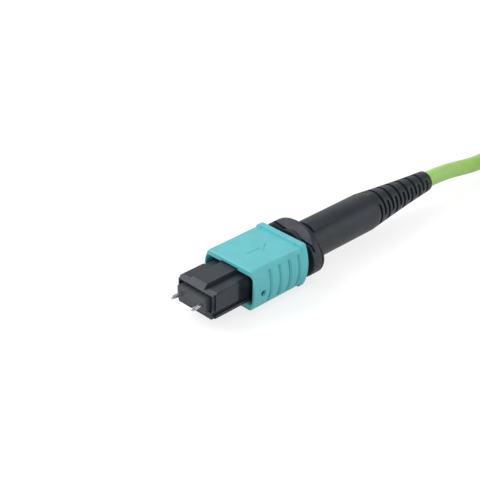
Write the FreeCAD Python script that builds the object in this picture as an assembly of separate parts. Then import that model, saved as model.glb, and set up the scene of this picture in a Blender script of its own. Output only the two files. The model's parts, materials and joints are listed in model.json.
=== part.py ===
"""A twelve-fibre push-on MPO plug on a 3 mm round cable, with its short lead put away as a tied hank.

Millimetres. A plug is modelled along X: ferrule face at x = 0, mating direction +X, optical axis at
y = z = 0, key side up. It is then set in the part's frame, whose origin is under the middle of the
near plug, on the surface that the plug lies on. The far plug is the same design turned round.
"""
import FreeCAD
import Part
import math
import os

V = FreeCAD.Vector

# Ferrule, guide pins and fibres
FERRULE_WIDTH = 6.4
FERRULE_HEIGHT = 2.5
FERRULE_LENGTH = 8.0
FERRULE_PROUD = 0.86            # ferrule face ahead of the nose
FERRULE_FLANGE_LENGTH = 2.0
FERRULE_FLANGE_STEP = 0.16      # flange above and below the ferrule body
FERRULE_EDGE = 0.12             # chamfer along the ferrule's corners
FERRULE_TRAVEL = 0.6            # how far the ferrule floats back against its spring
PIN_DIAMETER = 0.7
PIN_PITCH = 4.6
PIN_PROUD = 2.1                 # pin tip ahead of the ferrule face
PIN_TAPER = 0.55                # length of the pin's rounded tip
PIN_TIP_SHARE = 0.35            # tip flat, as a share of the pin's diameter
PIN_BULGE_SHARE = 0.78          # a third of the way down the tip
PIN_TAIL = 1.6                  # pin behind the ferrule, gripped by the keeper
PIN_NECK_DEPTH = 0.08           # groove round the tail
PIN_NECK_LENGTH = 0.2
FIBRE_COUNT = 12
FIBRE_PITCH = 0.25
FIBRE_DIAMETER = 0.125
RIBBON_THICKNESS = 0.3
RIBBON_EDGE = 0.02              # coating beside the outer fibres
FIBRE_BORE_LENGTH = 5.4         # fine bores behind the face; the boot pocket follows
EPOXY_WINDOW_SETBACK = 2.6
EPOXY_WINDOW_LENGTH = 1.8
EPOXY_WINDOW_WIDTH = 3.2
KEEPER_LENGTH = 2.2
KEEPER_WIDTH = 6.2
KEEPER_HEIGHT = 2.7
KEEPER_EDGE = 0.4
FERRULE_BOOT_WALL = 0.22        # rubber round the ribbon
FERRULE_BOOT_TAIL = 0.6         # rubber sleeve behind the pin keeper
SPRING_WIRE = 0.36              # ferrule spring
SPRING_HALF_WIDTH = 2.72        # outside of its oval coil
SPRING_HALF_HEIGHT = 1.26
SPRING_TURNS = 5
SPRING_CLOSED_PITCH = 1.05      # pitch of the end turns, in wire diameters

# Inner housing
NOSE_LENGTH = 7.42              # nose ahead of the sleeve
LIP_LENGTH = 0.55
LIP_INSET = 0.25                # lip's sides in from the housing's
HOUSING_HALF_WIDTH = 4.15
HOUSING_TOP = 2.2               # above the optical axis
HOUSING_BOTTOM = 2.49           # below it
HOUSING_INSET = 0.7             # housing ends inside the sleeve's rear
HOUSING_EDGE = 0.3              # rounding along its corners
BEVEL_LENGTH = 1.0
BEVEL_HEIGHT = 0.36
MOUTH_DEPTH = 1.2               # wider front of the ferrule's window
MOUTH_TOP_ROOM = 0.42
MOUTH_SIDE_ROOM = 0.42
KEY_HALF_WIDTH = 1.7
KEY_HEIGHT = 0.64
KEY_SETBACK = 0.18
KEY_SLOPE = 0.75                # length of the key's sloping front
KEY_LENGTH = 11.0
KEY_CORNER = 0.55
RAIL_HEIGHT = 0.7               # rail under the side groove
GROOVE_HEIGHT = 0.75
GROOVE_DEPTH = 0.4
HOOK_SETBACK = 5.5              # latch shoulder behind the nose
HOOK_LENGTH = 4.4
HOOK_DEPTH = 0.55
LUG_HEIGHT = 0.42               # lugs that keep the sleeve from sliding off
LUG_LENGTH = 1.0
WINDOW_SETBACK = 1.6            # latch windows, from the housing's rear
WINDOW_LENGTH = 1.7
WINDOW_HEIGHT = 2.0
TOOTH_LENGTH = 0.5              # flat top of the latch tooth, behind its ramp
EAR_THICKNESS = 0.8             # seats of the sleeve springs
EAR_HEIGHT = 2.4

# Coupling sleeve
SLEEVE_LENGTH = 12.72
SLEEVE_TRAVEL = 1.2
SIDE_ROOM = 1.2                 # between the housing and the sleeve's cavity, for the springs
SLEEVE_WALL = 0.55              # side wall at mid height
SLEEVE_BULGE = 0.95             # how far the sides swell past the top's edges
SLEEVE_ROOF = 0.64              # over the keyway
SLEEVE_EDGE = 0.7
SLEEVE_FRONT_EDGE = 0.25
CAVITY_EDGE = 0.8
KEYWAY_SIDE_ROOM = 0.25
KEYWAY_ROOM = 0.2
LUG_ROOM = 0.12
SCOOP_DEPTH = 0.12              # finger scoop, deepest at the rear lip
SCOOP_LENGTH = 7.6
REAR_LIP_LENGTH = 1.3
REAR_LIP_HEIGHT = 0.3           # lip above and below the rest of the sleeve
REAR_LIP_CORNER = 0.45
REAR_LIP_EDGE = 0.3
GRIP_COUNT = 4
GRIP_PITCH = 2.24
GRIP_SETBACK = 2.32             # last grip groove, from the sleeve's rear
GRIP_STEPS = [(0.85, 0.09), (0.36, 0.3)]    # width and depth: a shallow trough, then its bottom
GRIP_HALF_HEIGHT = 2.9
SLEEVE_SEAT_SETBACK = 7.0       # spring seats and roof rails, from the sleeve's front
SLEEVE_SEAT_THICKNESS = 0.7
SLEEVE_SEAT_HEIGHT = 1.8
ROOF_RAIL_INNER = 2.15
ROOF_RAIL_OUTER = 3.4
PIN_HOLE_DIAMETER = 1.1         # mould pin hole in the side
PIN_HOLE_SETBACK = 2.05
PIN_HOLE_DROP = 0.65
SLEEVE_SPRING_WIRE = 0.18
SLEEVE_SPRING_DIAMETER = 1.0
SLEEVE_SPRING_TURNS = 6

# Spring push, crimp and boot
PUSH_BLOCK_LENGTH = 4.8         # part of the spring push inside the housing
PUSH_SPIGOT = 0.9               # oval spigot that centres the spring
PUSH_COLLAR = 1.0
PUSH_BARREL_DIAMETER = 4.4
PUSH_BARREL_LENGTH = 8.6
CRIMP_GROOVES = 5
CRIMP_GROOVE_DEPTH = 0.12
CRIMP_PLAIN_FRONT = 2.4         # barrel without grooves, at its front and its rear
CRIMP_PLAIN_REAR = 0.6
YARN_THICKNESS = 0.2
YARN_PROUD = 0.2                # yarn that shows in front of the crimp ring
CRIMP_WALL = 0.32
CRIMP_SETBACK = 0.3             # behind the boot's front face
CRIMP_TAPER = 0.8               # length of the ring's step down to the cable
CRIMP_OVERLAP = 0.5             # ring's tail over the cable, ahead of its step
CRIMP_TAIL_LENGTH = 3.6
SLEEVE_END_GAP = 0.1            # left between sleeve and boot when pulled right back
BOOT_TURN = -8.0                # the soft boot sits turned a little round the cable, in degrees
BOOT_LENGTH = 37.2
BOOT_FLANGE_LENGTH = 2.35
BOOT_FLANGE_HALF_WIDTH = 6.05
BOOT_FLANGE_HALF_HEIGHT = 4.55
BOOT_FLANGE_EDGE = 0.3
SLOPE_FRONT_HEIGHT = 3.25       # the flange's flat slopes rise from here to the rear rim
RIDGE_THICKNESS = 0.25          # low ridge in front of the flange's top and bottom slots
RIDGE_HEIGHT = 3.1
FLANGE_SLOT_WIDTH = 0.4
FLANGE_SLOT_DEPTH = 0.9         # below the slope's front edge
RIM_GROOVE_WIDTH = 0.16
RIM_GROOVE_DEPTH = 0.22
RIM_GROOVE_HALF_HEIGHT = 3.2
RIM_THICKNESS = 0.35            # thin rim behind the groove
BOOT_BARREL_RADIUS = 3.55
BOOT_BARREL_LENGTH = 16.85      # straight part behind the flange
BOOT_TAIL_RADIUS = 1.98
BOOT_TAIL_HOLLOW = 0.12         # how far the tail curves in from a straight cone
BOOT_TAIL_EDGE = 0.35
BOOT_ROOT_FILLET = 0.3
BOOT_NOTCH_SETBACK = 1.15       # notch across the barrel's top, behind the flange
BOOT_NOTCH_WIDTH = 0.55
BOOT_NOTCH_DEPTH = 0.6
SLOT_RINGS = 13
SLOT_PITCH = 1.225
SLOT_WIDTH = 0.6
SLOT_END_SETBACK = 1.9          # last slot ring, from the boot's rear end
TOP_SLOT_ANGLE = 170.0
BOTTOM_SLOT_ANGLE = 60.0
SIDE_SLOT_ANGLE = 96.0

# Cable and its put-away length
CABLE_DIAMETER = 3.0
LEAD_LENGTH = 1000.0            # from one ferrule face to the other
HANK_FOLD_RADIUS = 9.0          # centre of the inner column's end turns
HANK_LAYERS = 4
HANK_CLIMB_SHARE = 0.05         # length that a lap spends on climbing, in cable diameters
TIE_WIDTH = 8.0
TIE_THICKNESS = 0.6

# Clearances
FERRULE_CLEARANCE = 0.06        # ferrule in the nose and the housing
PIN_CLEARANCE = 0.01
FIBRE_CLEARANCE = 0.002
SLEEVE_CLEARANCE = 0.07         # sleeve on the housing
SEAT_GAP = 0.02                 # faces that stop a moving piece
LATCH_CLEARANCE = 0.05
BORE_CLEARANCE = 0.1            # cable in the boot, ribbon in the barrel
SPIGOT_CLEARANCE = 0.16         # spring push's spigot in the ferrule spring
SPRING_END_GAP = 0.03           # coil ends and their seats
OVERCUT = 1.0                   # how far a cutting body runs past what it cuts
OVERLAP = 0.1                   # how far bodies that join run into each other

# Places along the plug, all behind the ferrule face
PIN_RADIUS = PIN_DIAMETER / 2
NOSE_FRONT = -FERRULE_PROUD
FERRULE_REAR = -FERRULE_LENGTH
FLANGE_FRONT = FERRULE_REAR + FERRULE_FLANGE_LENGTH
KEEPER_REAR = FERRULE_REAR - KEEPER_LENGTH
SLEEVE_FRONT = NOSE_FRONT - NOSE_LENGTH
SLEEVE_REAR = SLEEVE_FRONT - SLEEVE_LENGTH
HOUSING_REAR = SLEEVE_REAR + HOUSING_INSET
PUSH_FRONT = HOUSING_REAR + PUSH_BLOCK_LENGTH
COLLAR_REAR = HOUSING_REAR - PUSH_COLLAR
BARREL_REAR = COLLAR_REAR - PUSH_BARREL_LENGTH
BOOT_FRONT = SLEEVE_REAR - SLEEVE_TRAVEL - SLEEVE_END_GAP
BOOT_FLANGE_REAR = BOOT_FRONT - BOOT_FLANGE_LENGTH
BOOT_TAPER_FRONT = BOOT_FLANGE_REAR - BOOT_BARREL_LENGTH
BOOT_REAR = BOOT_FRONT - BOOT_LENGTH
SEAT_FRONT = SLEEVE_FRONT - SLEEVE_SEAT_SETBACK
SEAT_REAR = SEAT_FRONT - SLEEVE_SEAT_THICKNESS
EAR_FRONT = HOUSING_REAR + EAR_THICKNESS
CRIMP_FRONT = BOOT_FRONT - CRIMP_SETBACK
CRIMP_STEP = BARREL_REAR - CRIMP_SETBACK
CRIMP_REAR = CRIMP_STEP - CRIMP_TAIL_LENGTH
CABLE_FRONT = CRIMP_STEP - CRIMP_OVERLAP

# Sections that several pieces share
CAVITY_HALF_Y = FERRULE_WIDTH / 2 + FERRULE_CLEARANCE
FLANGE_HALF_Z = FERRULE_HEIGHT / 2 + FERRULE_FLANGE_STEP
HOUSING_CAVITY_Z = FLANGE_HALF_Z + LATCH_CLEARANCE
LIP_HALF_WIDTH = HOUSING_HALF_WIDTH - LIP_INSET
KEY_TOP = HOUSING_TOP + KEY_HEIGHT
KEYWAY_TOP = KEY_TOP + KEYWAY_ROOM
CAVITY_HALF_WIDTH = HOUSING_HALF_WIDTH + SIDE_ROOM
CAVITY_TOP = HOUSING_TOP + LUG_HEIGHT + LUG_ROOM
CAVITY_BOTTOM = HOUSING_BOTTOM + SLEEVE_CLEARANCE
SLEEVE_HALF_WIDTH = CAVITY_HALF_WIDTH + SLEEVE_WALL
SLEEVE_HALF_HEIGHT = KEYWAY_TOP + SLEEVE_ROOF
RIBBON_HALF_WIDTH = FIBRE_COUNT * FIBRE_PITCH / 2 + RIBBON_EDGE
BOOT_PIECE_HALF_Y = RIBBON_HALF_WIDTH + FERRULE_BOOT_WALL
BOOT_PIECE_HALF_Z = RIBBON_THICKNESS / 2 + 2 * FERRULE_BOOT_WALL
CABLE_RADIUS = CABLE_DIAMETER / 2
BOOT_BORE = CABLE_RADIUS + BORE_CLEARANCE
BARREL_RADIUS = PUSH_BARREL_DIAMETER / 2
YARN_RADIUS = BARREL_RADIUS + YARN_THICKNESS
CRIMP_RADIUS = YARN_RADIUS + CRIMP_WALL
SPRING_Y = (HOUSING_HALF_WIDTH + CAVITY_HALF_WIDTH) / 2

# The part's frame; the turned oval flange touches the surface low on one side
TURN = math.radians(abs(BOOT_TURN))
FLANGE_REACH = math.hypot(BOOT_FLANGE_HALF_WIDTH * math.sin(TURN), BOOT_FLANGE_HALF_HEIGHT * math.cos(TURN))
AXIS_HEIGHT = max(FLANGE_REACH, SLEEVE_HALF_HEIGHT + REAR_LIP_HEIGHT)
ORIGIN_X = (PIN_PROUD + BOOT_REAR) / 2
CABLE_EXIT_X = BOOT_REAR - ORIGIN_X


# ---------------------------------------------------------------- shapes
def bar(x0, x1, y0, y1, z0, z1):
    """A rectangular block between two corners."""
    low = V(min(x0, x1), min(y0, y1), min(z0, z1))
    return Part.makeBox(abs(x1 - x0), abs(y1 - y0), abs(z1 - z0), low)


def block(front, rear, half_y, half_z):
    """A block centred on the axis."""
    return bar(rear, front, -half_y, half_y, -half_z, half_z)


def edges_along_x(shape):
    """Straight edges that run along X."""
    chosen = []
    for edge in shape.Edges:
        start, end = edge.firstVertex().Point, edge.lastVertex().Point
        if abs(end.y - start.y) + abs(end.z - start.z) < 1e-6 and abs(end.x - start.x) > 1e-3:
            chosen.append(edge)
    return chosen


def edges_at_x(shape, x):
    """Edges that lie in the plane at x."""
    return [e for e in shape.Edges if abs(e.BoundBox.XMin - x) < 1e-6 and abs(e.BoundBox.XMax - x) < 1e-6]


def rounded_block(x0, x1, y0, y1, z0, z1, radius):
    """A block with its four long edges rounded."""
    shape = bar(x0, x1, y0, y1, z0, z1)
    return shape.makeFillet(radius, edges_along_x(shape))


def prism_x(edges, front, rear):
    """A closed outline in a YZ plane at the front, extruded back to the rear."""
    outline = Part.Face(Part.Wire(edges))
    return outline.extrude(V(rear - front, 0, 0))


def oval_edges(x, half_y, half_z):
    """An oval in the plane at x: straight top and bottom, half-round ends."""
    side = half_y - half_z
    corners = [V(x, -side, half_z), V(x, side, half_z), V(x, side, -half_z), V(x, -side, -half_z)]
    return [
        Part.LineSegment(corners[0], corners[1]).toShape(),
        Part.Arc(corners[1], V(x, half_y, 0), corners[2]).toShape(),
        Part.LineSegment(corners[2], corners[3]).toShape(),
        Part.Arc(corners[3], V(x, -half_y, 0), corners[0]).toShape(),
    ]


def oval_bar(front, rear, half_y, half_z):
    """An oval bar along X."""
    return prism_x(oval_edges(front, half_y, half_z), front, rear)


def rod(front, rear, radius, y=0.0, z=0.0):
    """A round bar along X."""
    return Part.makeCylinder(radius, front - rear, V(rear, y, z), V(1, 0, 0))


def turned(profile):
    """A solid of revolution about the plug's axis from (x, radius) points."""
    points = [V(x, 0, r) for x, r in profile]
    face = Part.Face(Part.makePolygon(points + points[:1]))
    return face.revolve(V(0, 0, 0), V(1, 0, 0), 360)


def side_prism(outline, y0, y1):
    """A closed outline of (x, z) points, extruded from y0 to y1."""
    points = [V(x, y0, z) for x, z in outline]
    face = Part.Face(Part.makePolygon(points + points[:1]))
    return face.extrude(V(0, y1 - y0, 0))


def mirrored(shape):
    """The same shape on the other side of the plug."""
    return shape.mirror(V(0, 0, 0), V(0, 1, 0))


def round_bar(edges, radius):
    """A round bar along straight and round edges that run on smoothly into each other."""
    first = edges[0]
    ring = Part.Circle(first.valueAt(first.FirstParameter), first.tangentAt(first.FirstParameter), radius)
    ring = ring.toShape()
    faces = [Part.Face(Part.Wire(ring))]
    for edge in edges:
        if isinstance(edge.Curve, Part.Circle):
            angle = math.degrees(edge.LastParameter - edge.FirstParameter)
            faces.append(ring.revolve(edge.Curve.Center, edge.Curve.Axis, angle))
            ring = ring.copy()
            ring.rotate(edge.Curve.Center, edge.Curve.Axis, angle)
        else:
            run = edge.valueAt(edge.LastParameter) - edge.valueAt(edge.FirstParameter)
            faces.append(ring.extrude(run))
            ring = ring.copy()
            ring.translate(run)
    faces.append(Part.Face(Part.Wire(ring)))
    shell = Part.makeShell([f for piece in faces for f in piece.Faces])
    shell.sewShape()
    solid = Part.makeSolid(shell)
    return solid if solid.Volume > 0 else solid.reversed()


def oval_coil(rear, front, half_y, half_z, wire, turns):
    """A compression spring along X with closed end turns; half_y and half_z are its outside.

    Its straight runs lie across the axis, and each half-round end is tilted to climb to the next.
    """
    side = half_y - half_z
    closed = wire * SPRING_CLOSED_PITCH / 2
    open_climb = (front - rear - wire - 4 * closed) / (2 * turns - 4)
    radius = math.sqrt((half_z - wire / 2) ** 2 - (open_climb / 2) ** 2)
    x = rear + wire / 2
    edges = []
    for half in range(2 * turns):
        is_end = half < 2 or half >= 2 * turns - 2
        climb = closed if is_end else open_climb
        way = 1 if half % 2 == 0 else -1
        start, end = V(x, way * side, -way * radius), V(x + climb, way * side, way * radius)
        if side > 0:
            edges.append(Part.LineSegment(V(x, -way * side, -way * radius), start).toShape())
        middle = (start + end) / 2 + V(0, way * (end - start).Length / 2, 0)
        edges.append(Part.Arc(start, middle, end).toShape())
        x += climb
    return round_bar(edges, wire / 2)


# ---------------------------------------------------------------- ferrule group
def fibre_places():
    """Sideways places of the fibres."""
    return [FIBRE_PITCH * (i - (FIBRE_COUNT - 1) / 2) for i in range(FIBRE_COUNT)]


def plain_ferrule():
    """A ferrule with its rear flange and pin bores, as the far plug has it."""
    half_y = FERRULE_WIDTH / 2
    body = block(0, FERRULE_REAR, half_y, FERRULE_HEIGHT / 2)
    body = body.makeChamfer(FERRULE_EDGE, edges_along_x(body))
    body = body.fuse(block(FLANGE_FRONT, FERRULE_REAR, half_y, FLANGE_HALF_Z))
    bores = [rod(OVERCUT, FERRULE_REAR - OVERCUT, PIN_RADIUS + PIN_CLEARANCE, side * PIN_PITCH / 2)
             for side in (-1, 1)]
    return body.cut(bores)


def ferrule():
    """The near ferrule, with its fibre bores, epoxy window and the pocket behind them."""
    pocket = oval_bar(-FIBRE_BORE_LENGTH, FERRULE_REAR - OVERCUT, BOOT_PIECE_HALF_Y + PIN_CLEARANCE,
                      BOOT_PIECE_HALF_Z + PIN_CLEARANCE)
    window_rear = -EPOXY_WINDOW_SETBACK - EPOXY_WINDOW_LENGTH
    window = bar(-EPOXY_WINDOW_SETBACK, window_rear, -EPOXY_WINDOW_WIDTH / 2, EPOXY_WINDOW_WIDTH / 2,
                 0, FERRULE_HEIGHT)
    bores = [rod(OVERCUT, -FIBRE_BORE_LENGTH - OVERLAP, FIBRE_DIAMETER / 2 + FIBRE_CLEARANCE, y)
             for y in fibre_places()]
    return plain_ferrule().cut([pocket, window] + bores)


def guide_pin(side):
    """A steel guide pin with a rounded tip and a necked tail."""
    rear = FERRULE_REAR - PIN_TAIL
    neck = FERRULE_REAR - PIN_TAIL / 2
    tip = PIN_RADIUS * PIN_TIP_SHARE
    shoulder = PIN_PROUD - PIN_TAPER
    waist = PIN_RADIUS - PIN_NECK_DEPTH
    pin = turned([
        (PIN_PROUD, 0), (PIN_PROUD, tip), (PIN_PROUD - PIN_TAPER / 3, PIN_RADIUS * PIN_BULGE_SHARE),
        (shoulder, PIN_RADIUS), (neck + PIN_NECK_LENGTH, PIN_RADIUS), (neck + PIN_NECK_LENGTH / 2, waist),
        (neck - PIN_NECK_LENGTH / 2, waist), (neck - PIN_NECK_LENGTH, PIN_RADIUS), (rear, PIN_RADIUS),
        (rear, 0),
    ])
    return pin.translate(V(0, side * PIN_PITCH / 2, 0))


def pin_keeper():
    """The plate behind the ferrule that grips the pins and seats the spring."""
    plate = rounded_block(KEEPER_REAR, FERRULE_REAR, -KEEPER_WIDTH / 2, KEEPER_WIDTH / 2,
                          -KEEPER_HEIGHT / 2, KEEPER_HEIGHT / 2, KEEPER_EDGE)
    opening = oval_bar(FERRULE_REAR + OVERCUT, KEEPER_REAR - OVERCUT, BOOT_PIECE_HALF_Y + PIN_CLEARANCE,
                       BOOT_PIECE_HALF_Z + PIN_CLEARANCE)
    sockets = [rod(FERRULE_REAR + OVERCUT, FERRULE_REAR - PIN_TAIL - PIN_CLEARANCE,
                   PIN_RADIUS + PIN_CLEARANCE, side * PIN_PITCH / 2) for side in (-1, 1)]
    return plate.cut([opening] + sockets)


def ferrule_boot():
    """The soft sleeve that leads the ribbon into the ferrule."""
    front = -FIBRE_BORE_LENGTH - PIN_CLEARANCE
    rear = KEEPER_REAR - FERRULE_BOOT_TAIL
    sleeve = oval_bar(front, rear, BOOT_PIECE_HALF_Y, BOOT_PIECE_HALF_Z)
    slot = oval_bar(front + OVERCUT, rear - OVERCUT, RIBBON_HALF_WIDTH + PIN_CLEARANCE,
                    RIBBON_THICKNESS / 2 + PIN_CLEARANCE)
    return sleeve.cut(slot)


def fibre_ribbon():
    """Twelve fibres, bare in the ferrule and bound in a ribbon behind it."""
    front = -FIBRE_BORE_LENGTH - 2 * OVERLAP
    rear = BARREL_REAR + FERRULE_TRAVEL
    ribbon = oval_bar(front, rear, RIBBON_HALF_WIDTH, RIBBON_THICKNESS / 2)
    fibres = [rod(0, front - OVERLAP, FIBRE_DIAMETER / 2, y) for y in fibre_places()]
    return ribbon.fuse(fibres)


def ferrule_spring():
    """The oval spring that pushes the ferrule forward."""
    return oval_coil(PUSH_FRONT + SPRING_END_GAP, KEEPER_REAR - SPRING_END_GAP, SPRING_HALF_WIDTH,
                     SPRING_HALF_HEIGHT, SPRING_WIRE, SPRING_TURNS)


# ---------------------------------------------------------------- inner housing
def housing_outside():
    """The housing's outer form: lip, body, bevel, rounded corners and key."""
    body = rounded_block(HOUSING_REAR, NOSE_FRONT - LIP_LENGTH, -HOUSING_HALF_WIDTH, HOUSING_HALF_WIDTH,
                         -HOUSING_BOTTOM, HOUSING_TOP, HOUSING_EDGE)
    lip = rounded_block(HOUSING_REAR, NOSE_FRONT, -LIP_HALF_WIDTH, LIP_HALF_WIDTH,
                        -HOUSING_BOTTOM, HOUSING_TOP, HOUSING_EDGE)
    body = body.fuse(lip)
    bevel = side_prism([
        (NOSE_FRONT + BEVEL_LENGTH, HOUSING_TOP - 2 * BEVEL_HEIGHT),
        (NOSE_FRONT - BEVEL_LENGTH, HOUSING_TOP),
        (NOSE_FRONT - BEVEL_LENGTH, HOUSING_TOP + OVERCUT),
        (NOSE_FRONT + BEVEL_LENGTH, HOUSING_TOP + OVERCUT),
    ], -HOUSING_HALF_WIDTH - OVERCUT, HOUSING_HALF_WIDTH + OVERCUT)
    return body.cut(bevel).fuse(key())


def key():
    """The polarity key along the top, with a sloping front between rounded corners."""
    front = NOSE_FRONT - KEY_SETBACK
    rear = NOSE_FRONT - KEY_LENGTH
    base = HOUSING_TOP - BEVEL_HEIGHT
    bar_of_key = side_prism([
        (front, base), (front - KEY_SLOPE, KEY_TOP), (rear, KEY_TOP), (rear, base),
    ], -KEY_HALF_WIDTH, KEY_HALF_WIDTH)
    plan = rounded_plan(front, rear, KEY_HALF_WIDTH, KEY_CORNER, base, KEY_TOP)
    return bar_of_key.common(plan)


def rounded_plan(front, rear, half_y, radius, z0, z1):
    """An upright block whose two front corners are rounded in plan."""
    shape = bar(rear, front, -half_y, half_y, z0, z1)
    corners = [e for e in shape.Edges if abs(e.BoundBox.XMin - front) < 1e-6 and e.BoundBox.ZLength > OVERLAP
               and e.BoundBox.YLength < 1e-6]
    return shape.makeFillet(radius, corners)


def housing_side_cuts():
    """The long groove, the latch recess and the latch window of one side."""
    groove_low = -HOUSING_BOTTOM + RAIL_HEIGHT
    outside = HOUSING_HALF_WIDTH + OVERCUT
    hook_front = NOSE_FRONT - HOOK_SETBACK
    hook_rear = hook_front - HOOK_LENGTH
    window_front = HOUSING_REAR + WINDOW_SETBACK + WINDOW_LENGTH
    return [
        bar(hook_rear, NOSE_FRONT + OVERCUT, HOUSING_HALF_WIDTH - GROOVE_DEPTH, outside,
            groove_low, groove_low + GROOVE_HEIGHT),
        bar(hook_rear, hook_front, HOUSING_HALF_WIDTH - HOOK_DEPTH, outside, groove_low, HOUSING_TOP + OVERCUT),
        bar(window_front - WINDOW_LENGTH, window_front, CAVITY_HALF_Y - OVERCUT, outside,
            -WINDOW_HEIGHT / 2, WINDOW_HEIGHT / 2),
    ]


def stop_lug():
    """A ramped lug on the deck that keeps the sleeve on the plug."""
    rear = SEAT_FRONT + SEAT_GAP
    top = HOUSING_TOP + LUG_HEIGHT
    return side_prism([
        (rear + LUG_LENGTH, HOUSING_TOP - OVERLAP), (rear + LUG_LENGTH / 2, top), (rear, top),
        (rear, HOUSING_TOP - OVERLAP),
    ], ROOF_RAIL_INNER, ROOF_RAIL_OUTER)


def spring_ear():
    """The ear at the housing's rear that a sleeve spring bears on."""
    reach = CAVITY_HALF_WIDTH - 2 * SLEEVE_CLEARANCE
    return bar(HOUSING_REAR, EAR_FRONT, HOUSING_HALF_WIDTH - OVERLAP, reach,
               -EAR_HEIGHT / 2, EAR_HEIGHT / 2)


def housing_with_sides():
    """The housing's outside with its side cuts, lugs and ears, still solid inside."""
    cuts = housing_side_cuts()
    body = housing_outside().cut(cuts + [mirrored(c) for c in cuts])
    adds = [stop_lug(), spring_ear()]
    return body.fuse(adds + [mirrored(a) for a in adds])


def ferrule_window():
    """The opening that the ferrule's body stands in, with its wider mouth."""
    half_z = FERRULE_HEIGHT / 2 + FERRULE_CLEARANCE
    window = block(NOSE_FRONT + OVERCUT, FLANGE_FRONT - OVERCUT, CAVITY_HALF_Y, half_z)
    mouth_y = CAVITY_HALF_Y + MOUTH_SIDE_ROOM
    mouth = bar(NOSE_FRONT - MOUTH_DEPTH, NOSE_FRONT + OVERCUT, -mouth_y, mouth_y,
                -half_z, half_z + MOUTH_TOP_ROOM)
    return window.fuse(mouth)


def inner_housing():
    """The plug frame: ferrule window at the front, one cavity open to the rear."""
    cavity = block(FLANGE_FRONT + SEAT_GAP, HOUSING_REAR - OVERCUT, CAVITY_HALF_Y, HOUSING_CAVITY_Z)
    return housing_with_sides().cut([ferrule_window(), cavity])


def plain_housing():
    """The far plug's housing: open as far back as its ferrule floats, solid behind."""
    pocket_rear = FERRULE_REAR - PIN_TAIL - 2 * FERRULE_TRAVEL
    pocket = block(FLANGE_FRONT + SEAT_GAP, pocket_rear, CAVITY_HALF_Y, HOUSING_CAVITY_Z)
    neck = rod(HOUSING_REAR, CRIMP_FRONT, BARREL_RADIUS)
    return housing_with_sides().cut([ferrule_window(), pocket]).fuse([collar(), neck])


# ---------------------------------------------------------------- coupling sleeve
def sleeve_edges(x, inset, half_z):
    """The sleeve's outline at x, its sides drawn in by an inset: flat top and bottom, bulging sides."""
    side_y = SLEEVE_HALF_WIDTH - inset
    top_y = side_y - SLEEVE_BULGE
    corners = [V(x, -top_y, half_z), V(x, top_y, half_z), V(x, top_y, -half_z), V(x, -top_y, -half_z)]
    return [
        Part.LineSegment(corners[0], corners[1]).toShape(),
        Part.Arc(corners[1], V(x, side_y, 0), corners[2]).toShape(),
        Part.LineSegment(corners[2], corners[3]).toShape(),
        Part.Arc(corners[3], V(x, -side_y, 0), corners[0]).toShape(),
    ]


def sleeve_shell(front, rear, half_z, edge):
    """A length of the sleeve's outer form with its long edges rounded."""
    shell = prism_x(sleeve_edges(front, 0, half_z), front, rear)
    return shell.makeFillet(edge, edges_along_x(shell))


def sleeve_outside():
    """The sleeve's outer form: a rounded body and the taller lip at its rear."""
    body = sleeve_shell(SLEEVE_FRONT, SLEEVE_REAR + REAR_LIP_EDGE, SLEEVE_HALF_HEIGHT, SLEEVE_EDGE)
    body = body.makeFillet(SLEEVE_FRONT_EDGE, edges_at_x(body, SLEEVE_FRONT))
    lip = sleeve_shell(SLEEVE_REAR + REAR_LIP_LENGTH, SLEEVE_REAR, SLEEVE_HALF_HEIGHT + REAR_LIP_HEIGHT,
                       REAR_LIP_CORNER)
    lip = lip.makeFillet(REAR_LIP_EDGE, edges_at_x(lip, SLEEVE_REAR))
    return body.fuse(lip)


def finger_scoop():
    """The wedge cut across the top that deepens towards the rear lip."""
    rear = SLEEVE_REAR + REAR_LIP_LENGTH
    front = rear + SCOOP_LENGTH
    return side_prism([
        (front, SLEEVE_HALF_HEIGHT), (rear, SLEEVE_HALF_HEIGHT - SCOOP_DEPTH),
        (rear, SLEEVE_HALF_HEIGHT + OVERCUT),
    ], -SLEEVE_HALF_WIDTH, SLEEVE_HALF_WIDTH)


def grip_grooves():
    """The grooves of both sides, each a shallow trough with a narrower bottom."""
    grooves = []
    for width, depth in GRIP_STEPS:
        core = prism_x(sleeve_edges(SLEEVE_FRONT, depth, SLEEVE_HALF_HEIGHT), SLEEVE_FRONT, SLEEVE_REAR)
        for i in range(GRIP_COUNT):
            middle = SLEEVE_REAR + GRIP_SETBACK + i * GRIP_PITCH
            band = block(middle + width / 2, middle - width / 2, SLEEVE_HALF_WIDTH + OVERCUT,
                         GRIP_HALF_HEIGHT)
            grooves += band.cut(core).Solids
    return grooves


def sleeve_fittings():
    """Roof rails that ride on the deck and seats for the sleeve springs, one side."""
    rail = bar(SLEEVE_REAR, SEAT_FRONT, ROOF_RAIL_INNER, ROOF_RAIL_OUTER,
               HOUSING_TOP + SLEEVE_CLEARANCE, CAVITY_TOP + OVERLAP)
    seat = bar(SEAT_REAR, SEAT_FRONT, HOUSING_HALF_WIDTH + SLEEVE_CLEARANCE, CAVITY_HALF_WIDTH + OVERLAP,
               -SLEEVE_SEAT_HEIGHT / 2, SLEEVE_SEAT_HEIGHT / 2)
    return [rail, seat]


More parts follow.
